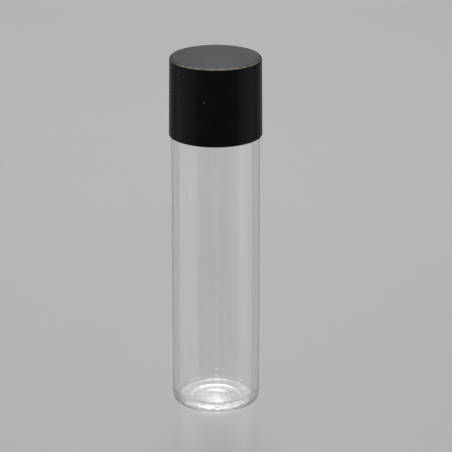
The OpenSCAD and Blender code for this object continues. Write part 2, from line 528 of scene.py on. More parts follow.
def new_material(name: str) -> tuple[bpy.types.Material, Wiring, bpy.types.Node, Socket]:
    """A material with one Principled BSDF and its Object coordinates.

    Args:
        name: Name of the material.

    Returns:
        The material, its wiring, its Principled BSDF and the coordinates' socket.
    """
    material = bpy.data.materials.new(name)
    material.use_nodes = True
    wiring = Wiring(material.node_tree)
    shader = next(node for node in wiring.tree.nodes if node.type == "BSDF_PRINCIPLED")
    return material, wiring, shader, wiring.node("ShaderNodeTexCoord").outputs["Object"]


@dataclass(frozen=True)
class Noise:
    """A noise over a face.

    Attributes:
        scale: Patches in a metre.
        detail: How many finer layers it has.
        roughness: Strength of each finer layer.
    """

    scale: float
    detail: float
    roughness: float = 0.5

    def over(self, wiring: Wiring, place: Socket) -> Socket:
        """The noise at a place."""
        return wiring.noise(place, self.scale, self.detail, self.roughness)


@dataclass(frozen=True)
class Specks:
    """How dust lies on a face.

    Attributes:
        scale: Cells in a metre, each with one speck at most.
        size: Radius of a middling speck, as a share of a cell.
        kept: Share of the cells that have one.
    """

    scale: float
    size: float
    kept: float

    def over(self, dust: bpy.types.NodeTree, wiring: Wiring, place: Socket) -> Socket:
        """1 on a speck and 0 beside it, from the group of dust specks."""
        made = wiring.node("ShaderNodeGroup", {"node_tree": dust}, Vector=place, Scale=self.scale,
                           Size=self.size, Kept=self.kept)
        return made.outputs["Mask"]


@dataclass(frozen=True)
class Skin:
    """How fine the skin of a moulded face is.

    Attributes:
        swell_scale: Swells in a metre.
        grain_scale: Grains in a metre.
        grain: Height of the grain, as a share of the swells'.
        depth: Depth of the whole relief.
    """

    swell_scale: float
    grain_scale: float
    grain: float
    depth: float

    def over(self, skin: bpy.types.NodeTree, wiring: Wiring, place: Socket) -> tuple[Socket, Socket]:
        """Normal and tone of the face, from the group of the moulded skin."""
        made = wiring.node("ShaderNodeGroup", {"node_tree": skin}, Vector=place,
                           Swell_Scale=self.swell_scale, Grain_Scale=self.grain_scale, Grain=self.grain)
        return wiring.bump(self.depth, made.outputs["Height"]), made.outputs["Tone"]


@dataclass(frozen=True)
class Mark:
    """One speck, seed or nick at a place on a round wall.

    Attributes:
        angle: Angle from the front, to the right, in degrees.
        height: Height of its middle.
        wall: Radius of the wall that it is on.
        size: Radius of the mark.
        core: Share of that radius within which the mark is full.
    """

    angle: float
    height: float
    wall: float
    size: float
    core: float = 0.4

    def centre(self) -> Place:
        """Its middle as a point, with the front at -Y."""
        angle = math.radians(self.angle)
        return self.wall * math.sin(angle), -self.wall * math.cos(angle), self.height

    def mask(self, wiring: Wiring, place: Socket) -> Socket:
        """1 at the middle, falling to 0 at its size: a smooth step of the distance."""
        reach = wiring.node("ShaderNodeVectorMath", {"operation": "DISTANCE"}, in_0=place,
                            in_1=self.centre())
        return wiring.remap(reach.outputs["Value"], self.size, self.size * self.core, smooth=True)


def any_mark(marks: tuple[Mark, ...], wiring: Wiring, place: Socket) -> Socket:
    """The sum of the masks of several marks, clamped to 1.

    Args:
        marks: The marks.
        wiring: Wiring of the material.
        place: Its Object coordinates.

    Returns:
        The mask of them all.
    """
    total = marks[0].mask(wiring, place)
    for mark in marks[1:]:
        total = wiring.math("ADD", total, mark.mask(wiring, place), clamp=True)
    return total


# ---------------------------------------------------------------------------------------------
# Finishes
# ---------------------------------------------------------------------------------------------


@dataclass(frozen=True)
class ClearGlass:
    """Clear drawn glass with faint lines along its length, a ground underside and a chipped foot.

    Attributes:
        tint: Colour that the glass lets through.
        streak: Colour that it lets through where a draw line is thickest.
        shade: Share of the lamps' light that passes each face, for the glass's own shadow.
        ior: Index of refraction.
        line_scale: Draw lines in a metre, across the wall.
        line_stretch: How many times longer than wide a draw line is.
        line_noise: The lines' noise, in widths of a line.
        line_span: Values of that noise at which a line starts to colour the glass and is thickest.
        line_depth: Depth of the draw lines.
        ground_top: Height up to which the underside is ground dull by standing.
        ground_full: Height below which it is ground as dull as it gets.
        ground_noise: Noise that breaks up the ground face.
        ground_least: How ground it is at the clearest spots, as a share.
        ground_roughness: Roughness of the ground underside.
        frost_share: Depth of the ground underside's grain, as a share of the chips'.
        scuff_top: Height up to which the foot's outside is chipped.
        scuff_full: Height below which it is chipped all over.
        scuff_radius: Radius beyond which a face is the foot's outside.
        scuff_fade: Width over which the chips begin there.
        scuff_noise: Noise of the chips.
        scuff_depth: Depth of the chips.
        wear_span: Values of the ground and the scuff noise at which the scuffing is least and most.
        specks: The dust on the glass.
        speck_roughness: Roughness of a speck of dust.
    """

    tint: Colour = (0.985, 0.992, 0.99, 1.0)
    streak: Colour = (0.94, 0.95, 0.947, 1.0)
    shade: Colour = (0.985, 0.99, 0.99, 1.0)
    ior: float = 1.5
    line_scale: float = 700.0
    line_stretch: float = 60.0
    line_noise: Noise = Noise(1.0, 3.0)
    line_span: tuple[float, float] = (0.35, 0.7)
    line_depth: float = 0.003 * MM
    ground_top: float = 0.9 * MM
    ground_full: float = 0.27 * MM
    ground_noise: Noise = Noise(2600.0, 4.0, 0.7)
    ground_least: float = 0.45
    ground_roughness: float = 0.36
    frost_share: float = 0.18
    scuff_top: float = 3.2 * MM
    scuff_full: float = 1.44 * MM
    scuff_radius: float = 9.1 * MM
    scuff_fade: float = 0.5 * MM
    scuff_noise: Noise = Noise(1300.0, 1.5, 0.6)
    scuff_depth: float = 0.1 * MM
    wear_span: tuple[float, float] = (0.42, 0.62)
    specks: Specks = Specks(330.0, 0.05, 0.1)
    speck_roughness: float = 0.75

    def draw_lines(self, wiring: Wiring, place: Socket) -> tuple[Socket, Socket]:
        """The draw lines: a noise that is stretched along Z.

        Args:
            wiring: Wiring of the material.
            place: Its Object coordinates.

        Returns:
            The colour that the glass lets through, and its normal.
        """
        stretched = (self.line_scale, self.line_scale, self.line_scale / self.line_stretch)
        drawn = wiring.node("ShaderNodeMapping", Vector=place, Scale=stretched)
        lines = self.line_noise.over(wiring, drawn.outputs["Vector"])
        colour = wiring.blend(wiring.remap(lines, *self.line_span), self.tint, self.streak)
        return colour, wiring.bump(self.line_depth, lines)

    def foot_wear(self, wiring: Wiring, place: Socket) -> tuple[Socket, Socket]:
        """Masks of the ground underside and the chipped outside of the foot.

        Each is a smooth step down with height, times a noise that breaks it up. The chips are
        also times a smooth step up with the radius, which keeps them off the underside.

        Args:
            wiring: Wiring of the material.
            place: Its Object coordinates.

        Returns:
            The mask of the ground underside and that of the chips.
        """
        radius, height = wiring.radius_and_height(place)
        near_table = wiring.remap(height, self.ground_top, self.ground_full, smooth=True)
        fine = self.ground_noise.over(wiring, place)
        ground = wiring.times(near_table, wiring.remap(fine, *self.wear_span, self.ground_least, 1.0))
        low = wiring.remap(height, self.scuff_top, self.scuff_full, smooth=True)
        outside = wiring.remap(radius, self.scuff_radius - self.scuff_fade, self.scuff_radius,
                               smooth=True)
        chips = wiring.remap(self.scuff_noise.over(wiring, place), *self.wear_span)
        return ground, wiring.times(low, outside, chips)

    def build(self, dust: bpy.types.NodeTree) -> bpy.types.Material:
        """Makes the material. Lamplight passes it straight, less the shade, and lights what is behind.

        Args:
            dust: The group of dust specks.

        Returns:
            The glass.
        """
        material, wiring, shader, place = new_material("clear_glass")
        colour, drawn_normal = self.draw_lines(wiring, place)
        ground, chipped = self.foot_wear(wiring, place)
        specks = self.specks.over(dust, wiring, place)
        rough = wiring.math("MAXIMUM", wiring.times(ground, self.ground_roughness),
                            wiring.times(specks, self.speck_roughness))
        relief = wiring.math("MAXIMUM", wiring.times(ground, self.frost_share), chipped)
        normal = wiring.bump(self.scuff_depth, relief, Normal=drawn_normal)
        wiring.fill(shader, Base_Color=colour, Transmission_Weight=1.0, IOR=self.ior, Roughness=rough,
                    Normal=normal)
        light = wiring.node("ShaderNodeLightPath").outputs
        straight = wiring.math("MAXIMUM", light["Is Shadow Ray"], light["Is Diffuse Ray"])
        wiring.show_mix(straight, shader, wiring.node("ShaderNodeBsdfTransparent", Color=self.shade))
        return material


@dataclass(frozen=True)
class SatinPlastic:
    """Black moulded plastic with a smooth satin face, and a pale line round the top edge that is partly
    rubbed plastic and partly a painted highlight.

    Attributes:
        dark: Colour of most of the face.
        light: Colour where the face is a little dusty.
        speck: Colour of dust specks and nicks.
        worn_highlight: Colour of the pale line round the top edge, partly rubbed plastic and partly a
            painted highlight.
        sheen_level: Strength of its reflections, where 0.5 is that of common plastic.
        gloss_low: Roughness where the face is smoothest.
        gloss_high: Roughness where it is dullest.
        skin: Its moulded skin.
        edge_centre: Radius and height of the centre of the top edge's rounding.
        worn_highlight_from: Slope at which the pale edge line starts, in degrees up from the side's.
        worn_highlight_to: Slope at which it ends.
        worn_highlight_fade: Angle over which it starts and ends, in degrees.
        worn_highlight_noise: Noise that breaks the line up.
        worn_highlight_span: Values of that noise at which the line is weakest and strongest.
        worn_highlight_least: How strong the line is where it is weakest, as a share.
        front_highlight_span: How far forward the painted highlight is strongest and weakest, in radii of
            the edge.
        back_highlight_least: How strong it is at the back, as a share.
        specks: The dust on the cap.
        speck_share: How much of a dust speck's colour shows.
        marks: Nicks and specks at known places.
    """

    dark: Colour = (0.0025, 0.0024, 0.0026, 1.0)
    light: Colour = (0.0045, 0.0043, 0.0043, 1.0)
    speck: Colour = (0.42, 0.4, 0.35, 1.0)
    # Pale edge colour: partly rubbed plastic, partly a painted highlight.
    worn_highlight: Colour = (0.32, 0.295, 0.235, 1.0)
    sheen_level: float = 0.08
    gloss_low: float = 0.27
    gloss_high: float = 0.29
    skin: Skin = Skin(260.0, 5200.0, 0.22, 0.001 * MM)
    edge_centre: Point = (9.78 * MM, 81.75 * MM)
    worn_highlight_from: float = 12.0
    worn_highlight_to: float = 72.0
    worn_highlight_fade: float = 14.0
    worn_highlight_noise: Noise = Noise(900.0, 3.0)
    worn_highlight_span: tuple[float, float] = (0.35, 0.65)
    worn_highlight_least: float = 0.45
    # Painted highlight: the edge line is brightest at the front and fades towards the back.
    front_highlight_span: tuple[float, float] = (0.95, 0.2)
    back_highlight_least: float = 0.25
    specks: Specks = Specks(420.0, 0.045, 0.3)
    speck_share: float = 0.3
    marks: tuple[Mark, ...] = (
        Mark(-44.5, 82.2 * MM, 10.2 * MM, 0.3 * MM),
        Mark(-14.0, 74.5 * MM, 10.4 * MM, 0.1 * MM),
        Mark(-64.0, 75.0 * MM, 10.4 * MM, 0.16 * MM),
    )

    def edge_wear_and_highlight(self, wiring: Wiring, place: Socket) -> Socket:
        """Mask of the pale line round the top edge, partly rubbed plastic and partly a painted
        highlight.

        The slope is the angle of a point about the centre of the edge's rounding. The mask rises
        and falls smoothly between the two slopes. It is strongest at the front, as a painted
        highlight, and a noise along the edge breaks it up.

        Args:
            wiring: Wiring of the material.
            place: Its Object coordinates.

        Returns:
            The mask, 1 where the line is strongest.
        """
        radius, height = wiring.radius_and_height(place)
        edge_x, edge_z = self.edge_centre
        slope = wiring.math("ARCTAN2", wiring.math("SUBTRACT", height, edge_z),
                            wiring.math("SUBTRACT", radius, edge_x))
        start, end, fade = np.radians((self.worn_highlight_from, self.worn_highlight_to, self.worn_highlight_fade)).tolist()
        rising = wiring.remap(slope, start, start + fade, smooth=True)
        falling = wiring.remap(slope, end - fade, end, 1.0, 0.0, smooth=True)
        broken = wiring.remap(self.worn_highlight_noise.over(wiring, place), *self.worn_highlight_span, self.worn_highlight_least, 1.0)
        # Painted highlight: strongest at the front of the cap, weaker at the back.
        y = wiring.node("ShaderNodeSeparateXYZ", Vector=place).outputs["Y"]
        most, least = (-share * edge_x for share in self.front_highlight_span)
        front_highlight = wiring.remap(y, most, least, 1.0, self.back_highlight_least)
        return wiring.times(wiring.times(rising, falling), wiring.times(broken, front_highlight))

    def build(self, dust: bpy.types.NodeTree, skin: bpy.types.NodeTree) -> bpy.types.Material:
        """Makes the material.

        Args:
            dust: The group of dust specks.
            skin: The group of the moulded skin.

        Returns:
            The plastic.
        """
        material, wiring, shader, place = new_material("satin_black_plastic")
        normal, tone = self.skin.over(skin, wiring, place)
        specks = wiring.times(self.specks.over(dust, wiring, place), self.speck_share)
        dirt = wiring.math("MAXIMUM", any_mark(self.marks, wiring, place), specks)
        face = wiring.blend(tone, self.dark, self.light)
        # The pale edge line, partly rubbed plastic and partly a painted highlight.
        edged_and_highlit = wiring.blend(self.edge_wear_and_highlight(wiring, place), face, self.worn_highlight)
        rough = wiring.remap(tone, 0.0, 1.0, self.gloss_low, self.gloss_high)
        wiring.fill(shader, Base_Color=wiring.blend(dirt, edged_and_highlit, self.speck), Roughness=rough,
                    Specular_IOR_Level=self.sheen_level, Normal=normal)
        return material


@dataclass(frozen=True)
class FoamFace:
    """Pale closed-cell foam with a smooth face.

    Attributes:
        pale: Main colour.
        shade: Colour in its small dips.
        roughness: Roughness of the face.
        skin: Its skin.
    """

    pale: Colour = (0.86, 0.86, 0.83, 1.0)
    shade: Colour = (0.74, 0.74, 0.71, 1.0)
    roughness: float = 0.55
    skin: Skin = Skin(900.0, 4000.0, 0.8, 0.02 * MM)

    def build(self, skin: bpy.types.NodeTree) -> bpy.types.Material:
        """Makes the material.

        Args:
            skin: The group of the moulded skin.

        Returns:
            The foam.
        """
        material, wiring, shader, place = new_material("liner_foam")
        normal, tone = self.skin.over(skin, wiring, place)
        wiring.fill(shader, Base_Color=wiring.blend(tone, self.shade, self.pale),
                    Roughness=self.roughness, Normal=normal)
        return material


@dataclass(frozen=True)
class PaleGritAndGlints:
    """Pale, slightly glossy grit and dust that light passes through a little, also used for pale specks
    that are painted glints and sparkle.

    Attributes:
        pale: Colour of the palest grains.
        dull: Colour of the dullest.
        tone: Noise of the colour, from grain to grain.
        roughness: Roughness of a grain.
        glow: Share of the light that spreads inside a grain.
        glow_reach: How far it spreads.
    """

    # Also the colour of the painted glints and sparkle at the foot.
    pale: Colour = (0.9, 0.89, 0.86, 1.0)
    dull: Colour = (0.62, 0.6, 0.56, 1.0)
    tone: Noise = Noise(1500.0, 2.0)
    roughness: float = 0.35
    glow: float = 0.8
    glow_reach: float = 0.6 * MM

    def build(self) -> bpy.types.Material:
        """Makes the material, with a tone that changes from grain to grain.

        Returns:
            The grit.
        """
        material, wiring, shader, place = new_material("pale_grit_and_glints")
        colour = wiring.blend(self.tone.over(wiring, place), self.dull, self.pale)
        wiring.fill(shader, Base_Color=colour, Roughness=self.roughness, Subsurface_Weight=self.glow,
                    Subsurface_Radius=(1.0, 1.0, 1.0), Subsurface_Scale=self.glow_reach)
        return material


@dataclass(frozen=True)
class StudioSheet:
    """The plain pale sheet of the floor and backdrop, glossier in the glass than by itself.

    Attributes:
        colour: Colour of the sheet.
        dimmest: Tone of its dimmest patches, as a share.
        mottle: Noise of its patches.
        roughness: Roughness of the sheet.
        seen_gloss: Strength of its reflections as seen straight or through the glass.
        mirrored_metal: How metallic it is as mirrored in the object, which strengthens the lamps there.
    """

    colour: Colour = (0.53, 0.53, 0.535, 1.0)
    dimmest: float = 0.97
    mottle: Noise = Noise(18.0, 3.0)
    roughness: float = 0.16
    seen_gloss: float = 0.45
    mirrored_metal: float = 0.5

    def build(self) -> bpy.types.Material:
        """Makes the material, with a faint mottle so that it isn't dead flat.

        Returns:
            The sheet's finish.
        """
        material, wiring, seen, place = new_material("studio_sheet")
        dim = tuple(tone * self.dimmest for tone in self.colour[:3]) + (1.0,)
        colour = wiring.blend(self.mottle.over(wiring, place), dim, self.colour)
        mirrored = wiring.node("ShaderNodeBsdfPrincipled", Metallic=self.mirrored_metal)
        for shader in (seen, mirrored):
            wiring.fill(shader, Base_Color=colour, Roughness=self.roughness)
        wiring.fill(seen, Specular_IOR_Level=self.seen_gloss)
        light = wiring.node("ShaderNodeLightPath").outputs
        off_a_face = wiring.math("SUBTRACT", light["Is Glossy Ray"], light["Is Transmission Ray"],
                                 clamp=True)
        wiring.show_mix(off_a_face, seen, mirrored)
        return material


# ---------------------------------------------------------------------------------------------
# Pieces
# ---------------------------------------------------------------------------------------------


def finish_piece(obj: bpy.types.Object, material: bpy.types.Material, body: Body,
                 node: str | None = None) -> None:
    """Gives a piece its material, its body and the CAD node that it stands for.

    Args:
        obj: The piece.
        material: Its material.
        body: The body that it rides on.
        node: The CAD node that it replaces, if any.
    """
    obj.data.materials.append(material)
    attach(obj, body.value)
    if node is not None:
        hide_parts(node)


def node_sizes(node: str) -> tuple[float, float, float]:
    """Radius, lowest height and highest height of a round CAD node."""
    low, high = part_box(node)
    return (high.x - low.x) / 2, low.z, high.z


@dataclass
class VialGlass:
    """The vial: foot, wall, shoulder, neck and thread in one piece of glass.

    Attributes:
        finish: Finish of the glass.
        radius: Radius of the outside.
        mouth_z: Height of the lip.
        wall: Thickness of the wall.
        foot: Radius of the rounding round the foot.
        floor_z: Height of the inside floor at its edge.
        floor_fillet: Radius of the rounding between floor and wall.
        floor_crown: How far the floor's middle stands above its edge.
        pushup_radius: Radius of the hollow under the foot.
        pushup_rise: Height of that hollow.
        shoulder: Radius of the bend from the wall into the shoulder, outside.
        shoulder_z: Height at which the bend starts.
        neck_root: Radius of the bend from the shoulder into the neck, outside.
        bore_root: Radius of the same bend inside.
        neck_radius: Radius of the neck between its threads.
        neck_points: Number of points up the neck, whose steps carry the thread.
        mouth_radius: Radius of the mouth.
        lip: Radius of the lip's rounding.
        thread_rise: Height of the thread over the neck.
        thread_below_mouth: Distance from the lip down to the middle of the thread's upper end.
        plain_neck: Height of the plain neck below the thread's start.
        pitch: Rise of the thread in one turn.
    """

    finish: ClearGlass = field(default_factory=ClearGlass)
    radius: float = 10.0 * MM
    mouth_z: float = 80.0 * MM
    wall: float = 1.5 * MM
    foot: float = 2.0 * MM
    floor_z: float = 1.9 * MM
    floor_fillet: float = 1.3 * MM
    floor_crown: float = 0.5 * MM
    pushup_radius: float = 5.25 * MM
    pushup_rise: float = 0.65 * MM
    shoulder: float = 2.4 * MM
    shoulder_z: float = 63.6 * MM
    neck_root: float = 1.5 * MM
    bore_root: float = 3.2 * MM
    neck_radius: float = 7.8 * MM
    neck_points: int = 120
    mouth_radius: float = 6.2 * MM
    lip: float = 0.5 * MM
    thread_rise: float = 1.05 * MM
    thread_below_mouth: float = 2.1 * MM
    plain_neck: float = 3.6 * MM
    pitch: float = 3.175 * MM

    def outside(self) -> np.ndarray:
        """Outline from the axis under the foot, out and up to the neck's root.

        Returns:
            The (n, 2) array of points.
        """
        turn, rise = bend(self.radius, self.neck_radius, self.shoulder, self.neck_root)
        foot_x = self.radius - self.foot
        shoulder_x = self.radius - self.shoulder
        root = (self.neck_radius + self.neck_root, self.shoulder_z + rise)
        return outline(
            dome(self.pushup_rise, self.pushup_radius, 0.0, 24),
            run((self.pushup_radius, 0.0), (foot_x, 0.0), 8),
            arc((foot_x, self.foot), self.foot, -90, 0, 20),
            run((self.radius, self.foot), (self.radius, self.shoulder_z), 40),
            arc((shoulder_x, self.shoulder_z), self.shoulder, 0, turn, 16),
            arc(root, self.neck_root, 180 + turn, 180, 12),
        )

    def inside(self) -> np.ndarray:
        """Outline from the lip in through the mouth, and down to the middle of the floor.

        Returns:
            The (n, 2) array of points.
        """
        cavity = self.radius - self.wall
        shoulder_in = self.shoulder - self.wall
        turn, rise = bend(cavity, self.mouth_radius, shoulder_in, self.bore_root)
        root_z = self.shoulder_z + rise
        lip_z = self.mouth_z - self.lip
        floor_x = cavity - self.floor_fillet
        floor_z = self.floor_z + self.floor_fillet
        return outline(
            arc((self.neck_radius - self.lip, lip_z), self.lip, 0, 90, 8),
            arc((self.mouth_radius + self.lip, lip_z), self.lip, 90, 180, 8),
            run((self.mouth_radius, lip_z), (self.mouth_radius, root_z), 12),
            arc((self.mouth_radius + self.bore_root, root_z), self.bore_root, 180, 180 + turn, 16),
            arc((self.radius - self.shoulder, self.shoulder_z), shoulder_in, turn, 0, 10),
            run((cavity, self.shoulder_z), (cavity, floor_z), 40),
            arc((floor_x, floor_z), self.floor_fillet, 0, -90, 16),
            dome(self.floor_crown, floor_x, self.floor_z, 24)[::-1],
        )

    def thread(self, root_z: float) -> Thread:
        """The thread on the neck above its root, with a bevelled crest."""
        middle_z = self.mouth_z - self.thread_below_mouth
        return Thread(
            side=ThreadSide.OUT, rise=self.thread_rise, pitch=self.pitch, middle_z=middle_z,
            low_z=root_z + self.plain_neck, high_z=middle_z,
            section=(0.28 * MM, 0.42 * MM, 0.6 * MM, 0.95 * MM, 1.08 * MM),
            heights=(1.0, 0.92, 0.7, 0.05, 0.0),
        )

    def build(self, dust: bpy.types.NodeTree) -> bpy.types.Object:
        """Turns the glass and dresses it.

        Args:
            dust: The group of dust specks.

        Returns:
            The glass.
        """
        outside = self.outside()
        root_z = float(outside[-1, 1])
        neck = even_wall(self.neck_radius, root_z, self.mouth_z - self.lip, self.neck_points)
        glass = lathe("vial", outline(outside, neck, self.inside()), self.thread(root_z),
                      stretch(outside, neck))
        finish_piece(glass, self.finish.build(dust), Body.VIAL, "vial_glass")
        return glass


@dataclass
class FootGritAndGlints:
    """Specks of pale grit stuck to the glass: a few on the wall and many round the foot, where some are
    painted glints and sparkle.

    Attributes:
        finish: Finish of the grit.
        radius: Radius of the glass.
        foot: Radius of the rounding at the foot.
        specks: The specks at known places, by angle, height and size: three on the wall, then five at
            the foot that are painted glints.
        grains: Number of small pale grains round the foot, partly grit and partly painted sparkle.
        low_z: Height of the lowest grain.
        high_z: Height of the highest.
        smallest: Size of the smallest grain.
        largest: Size of the largest.
        rarity: Power of the random share that sets a grain's size, which makes large ones rare.
        flatness: Thickness of a speck as a share of its size.
        proud: How far its middle stands off the glass, as a share of that thickness.
        lobes: Waves of its outline: their number, how they turn with its angle, and their depth.
        sides: Number of sides of its outline.
        bands: Number of bands from its underside to its top.
        seed: Seed of the grains' places.
    """

    finish: PaleGritAndGlints = field(default_factory=PaleGritAndGlints)
    radius: float = 10.0 * MM
    foot: float = 2.0 * MM
    specks: tuple[tuple[float, float, float], ...] = (
        (-40.5, 52.5 * MM, 0.36 * MM),
        (2.4, 32.4 * MM, 0.15 * MM),
        (7.5, 30.4 * MM, 0.13 * MM),
        # Painted glints: the next three stack into one bright glint at the front of the foot, and the
        # two after them are painted sparkles.
        (0.2, 3.0 * MM, 0.24 * MM),
        (-0.8, 2.4 * MM, 0.2 * MM),
        (1.2, 1.9 * MM, 0.18 * MM),
        (-24.5, 1.2 * MM, 0.24 * MM),
        (34.0, 1.7 * MM, 0.26 * MM),
    )
    # Painted sparkle: the random grains round the foot are partly grit and partly stand-ins for its
    # sparkle.
    grains: int = 110
    low_z: float = 0.25 * MM
    high_z: float = 2.7 * MM
    smallest: float = 0.04 * MM
    largest: float = 0.13 * MM
    rarity: float = 2.5
    flatness: float = 0.15
    proud: float = 0.5
    lobes: tuple[tuple[int, int, float], ...] = ((2, 9, 0.3), (3, 5, 0.18))
    sides: int = 10
    bands: int = 6
    seed: int = 11

    def places(self) -> np.ndarray:
        """Angle, height and size of each speck, the known ones first.

        Returns:
            The (specks, 3) array, with angles in radians.
        """
        known = np.array(self.specks) * (math.radians(1.0), 1.0, 1.0)
        draw = np.random.default_rng(self.seed)
        low = np.array([-math.pi, self.low_z, self.smallest])
        high = np.array([math.pi, self.high_z, self.largest])
        share = draw.random((self.grains, 3)) ** (1.0, 1.0, self.rarity)
        return np.vstack([known, low + share * (high - low)])

    def points(self) -> np.ndarray:
        """Points of all specks, flat lens shapes that lie on the glass.

        A speck at angle a and height z lies on the foot's rounding, whose slope b has
        sin b = (foot - z) / foot, or 0 above it. Its normal n is (sin a cos b, -cos a cos b,
        -sin b). Point (u, v) is the middle + size * g(u) * cos v * (e1 cos u + e2 sin u) +
        size * flatness * sin v * n, with e1 and e2 along the glass. The uneven outline is
        g(u) = 1 + the sum of the lobes' depth * cos(number * u + turn * a).

        Returns:
            The (specks, points, 3) array, with each speck's two poles last.
        """
        angle, height, size = (column[:, None, None, None] for column in self.places().T)
        sink = np.clip((self.foot - height) / self.foot, 0.0, 1.0)
        lean = np.sqrt(1 - sink**2)
        normal = np.concatenate([np.sin(angle) * lean, -np.cos(angle) * lean, -sink], axis=-1)
        along = np.concatenate([np.cos(angle), np.sin(angle), np.zeros_like(angle)], axis=-1)
        across = np.cross(normal, along)
        reach = self.radius - self.foot + self.foot * lean + self.proud * self.flatness * size
        middle = np.concatenate([np.sin(angle) * reach, -np.cos(angle) * reach, height], axis=-1)
        u = (np.arange(self.sides) * 2 * np.pi / self.sides)[None, None, :, None]
        v = (np.arange(1, self.bands) * np.pi / self.bands - np.pi / 2)[None, :, None, None]
        waves = (depth * np.cos(number * u + turn * angle) for number, turn, depth in self.lobes)
        uneven = sum(waves, 1.0)
        ring = along * np.cos(u) + across * np.sin(u)
        grid = middle + size * uneven * np.cos(v) * ring + size * self.flatness * np.sin(v) * normal
        poles = middle + size * self.flatness * normal * np.array([-1.0, 1.0])[None, :, None, None]
        count = len(grid)
        return np.concatenate([grid.reshape(count, -1, 3), poles.reshape(count, 2, 3)], axis=1)

    def faces(self, count: int) -> list[list[int]]:
        """Faces of all specks: quads between its rings, and a fan of triangles at each pole.

        Args:
            count: Number of specks.

        Returns:
            The numbers of the points of each face.
        """
        rings, sides = self.bands - 1, self.sides
        base = (np.arange(count) * (rings * sides + 2))[:, None, None, None]
        here = np.arange(sides)[None, None, :]
        after = (here + 1) % sides
        row = (np.arange(rings - 1) * sides)[None, :, None]
        quads = np.stack([row + here, row + after, row + sides + after, row + sides + here], axis=-1)
        south = np.stack([np.full_like(here, rings * sides), after, here], axis=-1)
        last = (rings - 1) * sides
        north = np.stack([last + here, last + after, np.full_like(here, rings * sides + 1)], axis=-1)
        fans = np.concatenate([base + south, base + north], axis=1)
        return (base + quads).reshape(-1, 4).tolist() + fans.reshape(-1, 3).tolist()

    def build(self) -> bpy.types.Object:
        """Makes all specks as one mesh and dresses it.

        Returns:
            The specks.
        """
        points = self.points()
        grit = new_object("foot_grit_and_glints", points.reshape(-1, 3), self.faces(len(points)))
        finish_piece(grit, self.finish.build(), Body.VIAL)
        return grit


